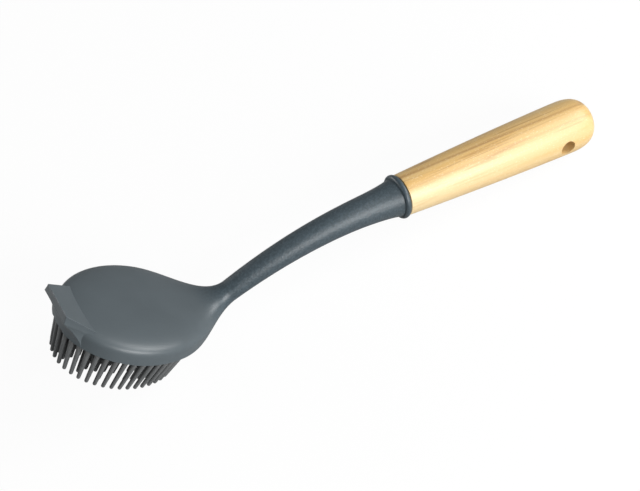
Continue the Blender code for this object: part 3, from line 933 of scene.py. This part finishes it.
class PadForm:
    """The pad's dished underside, its backing and its fingers."""

    backing_sides = 96
    dish_rings = 10
    tip_steps = 5

    # Rounding of a finger's tip, as a share of the tip's radius
    tip_softness = 0.7

    def __init__(self, form, pad, gap):
        self.form = form
        self.pad = pad
        self.gap = gap

    def half_length(self, height):
        head = self.form.head
        return (head.half_length - head.rim_wall) * self.form.pocket_share_at(height) - self.gap

    def half_width(self, height):
        head = self.form.head
        return (head.half_width - head.rim_wall) * self.form.pocket_share_at(height) - self.gap

    def dish(self, u, y):
        """Height of the dished underside over the rim."""
        edge = self.pad.recess
        out = (u / self.half_length(edge)) ** 2 + (y / self.half_width(edge)) ** 2
        return edge + self.pad.dish * (1.0 - out)

    def backing(self, bm):
        """The backing: the dish in rings from its middle out, and the wall up to its top."""
        recess = self.pad.recess
        rows = []
        for step in range(1, self.dish_rings + 1):
            part = step / self.dish_rings
            rows.append(self.row(bm, self.half_length(recess) * part,
                                 self.half_width(recess) * part))
        top = self.form.head.pocket_depth - self.gap
        rows.append(self.row(bm, self.half_length(top), self.half_width(top), top))
        for inner, outer in zip(rows, rows[1:]):
            for k in range(self.backing_sides):
                after = (k + 1) % self.backing_sides
                bm.faces.new((inner[k], inner[after], outer[after], outer[k]))
        bm.faces.new(rows[0])
        bm.faces.new(rows[-1])

    def row(self, bm, half_length, half_width, height=None):
        """An oval of corners at a height, or on the dish where no height is given."""
        row = []
        for k in range(self.backing_sides):
            angle = 2.0 * pi * k / self.backing_sides
            u, y = half_length * cos(angle), half_width * sin(angle)
            row.append(bm.verts.new((u, y, self.dish(u, y) if height is None else height)))
        return row

    def finger_profile(self):
        """A finger from its root down, as points of a radius and a height."""
        pad = self.pad
        soft = pad.tip_radius * self.tip_softness
        points = [(pad.root_radius, pad.root_radius / 2.0), (pad.root_radius, 0.0)]
        for k in range(self.tip_steps + 1):
            angle = k / self.tip_steps * pi / 2.0
            points.append((pad.tip_radius - soft * (1.0 - cos(angle)),
                           -pad.finger_length + soft * (1.0 - sin(angle))))
        return points

    def finger(self):
        sides = self.pad.sides
        turns = [2.0 * pi * k / sides for k in range(sides)]
        rings = [[(radius * cos(turn), radius * sin(turn), height) for turn in turns]
                 for radius, height in self.finger_profile()]
        return mesh_from(skin(rings), "finger")

    def place(self, u, y):
        """Where a finger stands on the dish, leaning as the fan does."""
        pad = self.pad
        splay = Vector((-(u + pad.fan_ahead) / pad.fan_radius, -y / pad.fan_radius, -1.0))
        down = splay.normalized()
        lean = Vector((0.0, 0.0, -1.0)).rotation_difference(down).to_matrix().to_4x4()
        return Matrix.Translation((u, y, self.dish(u, y))) @ lean

    def mesh(self):
        """The backing and all its fingers, each a closed body of its own."""
        bm = bmesh.new()
        self.backing(bm)
        bmesh.ops.recalc_face_normals(bm, faces=bm.faces)
        finger = self.finger()
        for u, y in finger_spots(self.form.head, self.pad):
            start = len(bm.verts)
            bm.from_mesh(finger)
            bm.verts.ensure_lookup_table()
            bmesh.ops.transform(bm, matrix=self.place(u, y), verts=bm.verts[start:])
        bmesh.ops.transform(bm, matrix=self.form.matrix(), verts=bm.verts)
        mesh = bpy.data.meshes.new("finger_pad")
        bm.to_mesh(mesh)
        bm.free()
        return mesh


def rubber_material(colours):
    """Soft silicone: matt and faintly cloudy, with a fine grain."""
    graph = Graph(bpy.data.materials.new("grey_silicone"))
    place = graph.place()
    grain = graph.noise(place, scale=2600.0, detail=2.0)
    cloud = graph.noise(place, scale=160.0, detail=2.0)
    base = graph.mix(graph.ramp(cloud, SOFT_CLOUD), colours.rubber, shaded(colours.rubber, 1.15))
    relief = graph.bump(grain, SILICONE_GRAIN_DEPTH, strength=0.4)
    return graph.finished({
        "Base Color": base, "Roughness": 0.58 + grain * 0.08, "Normal": relief, "IOR": 1.42})


class BRUSH_OT_set_fingers(bpy.types.Operator):
    """Set the soft fingers on their dished backing"""

    bl_idname = "brush.set_fingers"
    bl_label = "Set the fingers"

    def execute(self, context):
        scene = context.scene
        pad = PadForm(head_form(scene), scene.brush_pad, scene.brush_neck.seat_gap)
        item = new_object("finger_pad", pad.mesh())
        finish_piece(item, rubber_material(scene.brush_colours), "bristle_pad")
        return {"FINISHED"}


# The stage

WHITE = (1.0, 1.0, 1.0)
SKY_STRENGTH = 0.22
FLOOR_REACH = 4.0
FLOOR_ROUGHNESS = 0.9

# How much of what the camera sees of the floor is plain white. The rest is lit, and keeps the
# brush's shadow
FLOOR_GLOW = 0.94

# Each light's name, place, the point that it faces, width and height, and watts
LIGHTS = (
    ("key", (0.35, -0.98, 0.47), (0.35, 0.0, 0.03), (0.80, 0.62), 13.8),
    ("back", (-0.70, 0.80, 0.16), (0.0, 0.0, 0.03), (0.90, 0.30), 5.0),
    ("right", (0.864, -0.259, 0.664), (-0.12, 0.0, 0.04), (0.60, 0.50), 7.8),
)

# The camera in the handle's frame: its place, and which way is right and which ahead
CAMERA_PLACE = (-0.2427, -0.3147, 0.4194)
CAMERA_RIGHT = (0.8630, -0.5044, 0.0287)
CAMERA_AHEAD = (0.3481, 0.5526, -0.7573)
SENSOR_WIDTH = 36.0
FOCAL_LENGTH = 67.5
CLIP_START = 0.01


def area_light(name, place, target, size, power):
    light = bpy.data.lights.new(name, "AREA")
    light.shape = "RECTANGLE"
    light.size, light.size_y = size
    light.energy = power
    item = new_object(name, light)
    item.location = place
    item.rotation_euler = (Vector(target) - Vector(place)).to_track_quat("-Z", "Y").to_euler()


def photo_camera():
    """The camera at the photograph's viewing angle."""
    camera = bpy.data.cameras.new("camera")
    camera.sensor_width = SENSOR_WIDTH
    camera.lens = FOCAL_LENGTH
    camera.clip_start = CLIP_START
    right = Vector(CAMERA_RIGHT).normalized()
    ahead = Vector(CAMERA_AHEAD).normalized()
    up = right.cross(ahead).normalized()
    turn = Matrix((right, up, -ahead)).transposed().to_4x4()
    item = new_object("camera", camera)
    item.matrix_world = rest_pose() @ Matrix.Translation(CAMERA_PLACE) @ turn
    return item


def studio_floor(colours):
    """A floor, nearly white to the camera with a soft shadow on it, and greyer to the brush."""
    bm = bmesh.new()
    bmesh.ops.create_grid(bm, x_segments=1, y_segments=1, size=FLOOR_REACH)
    floor = new_object("floor", mesh_from(bm, "floor"))
    graph = Graph(bpy.data.materials.new("studio_floor"))
    seen = graph.node("ShaderNodeLightPath", output="Is Camera Ray")
    graph.finished({"Base Color": graph.mix(seen, colours.floor_shade, colours.floor),
                    "Roughness": FLOOR_ROUGHNESS})
    lit = Value(graph, graph.shader.outputs[0])
    white = graph.node("ShaderNodeEmission", {}, {"Color": WHITE, "Strength": 1.0})
    mixed = graph.node("ShaderNodeMixShader", {}, {0: seen * FLOOR_GLOW, 1: lit, 2: white})
    graph.feed(graph.tree.nodes["Material Output"].inputs["Surface"], mixed)
    floor.data.materials.append(graph.owner)
    return floor


def studio_world():
    """White to the camera, and a weak white sky to the brush."""
    graph = Graph(bpy.data.worlds.new("studio"), "Background")
    seen = graph.node("ShaderNodeLightPath", output="Is Camera Ray")
    strength = seen * (1.0 - SKY_STRENGTH) + SKY_STRENGTH
    return graph.finished({"Color": WHITE, "Strength": strength})


class BRUSH_OT_set_stage(bpy.types.Operator):
    """Set the floor, the lamps and the camera"""

    bl_idname = "brush.set_stage"
    bl_label = "Set the stage"

    def execute(self, context):
        scene = context.scene
        floor = studio_floor(scene.brush_colours)
        scene.world = studio_world()
        for settings in LIGHTS:
            area_light(*settings)
        scene.camera = photo_camera()
        scene.view_settings.view_transform = "Standard"
        return {"FINISHED"}


OPERATORS = (BRUSH_OT_turn_handle, BRUSH_OT_mould_head, BRUSH_OT_set_fingers, BRUSH_OT_set_stage)


class BRUSH_PT_panel(bpy.types.Panel):
    """Lists the brush's steps in the 3D view's sidebar"""

    bl_idname = "BRUSH_PT_panel"
    bl_label = "Cleaning Brush"
    bl_space_type = "VIEW_3D"
    bl_region_type = "UI"
    bl_category = "Brush"

    def draw(self, context):
        for operator in OPERATORS:
            self.layout.operator(operator.bl_idname)
        for name, group in GROUPS.items():
            box = self.layout.box()
            for field in group.__annotations__:
                box.prop(getattr(context.scene, name), field)


CLASSES = (*GROUPS.values(), *OPERATORS, BRUSH_PT_panel)


def register():
    for item in CLASSES:
        bpy.utils.register_class(item)
    for name, group in GROUPS.items():
        setattr(bpy.types.Scene, name, PointerProperty(type=group))


def unregister():
    for name in GROUPS:
        delattr(bpy.types.Scene, name)
    for item in reversed(CLASSES):
        bpy.utils.unregister_class(item)


def main():
    register()
    bpy.ops.brush.turn_handle()
    bpy.ops.brush.mould_head()
    bpy.ops.brush.set_fingers()
    bpy.ops.brush.set_stage()


if __name__ == "__main__":
    main()
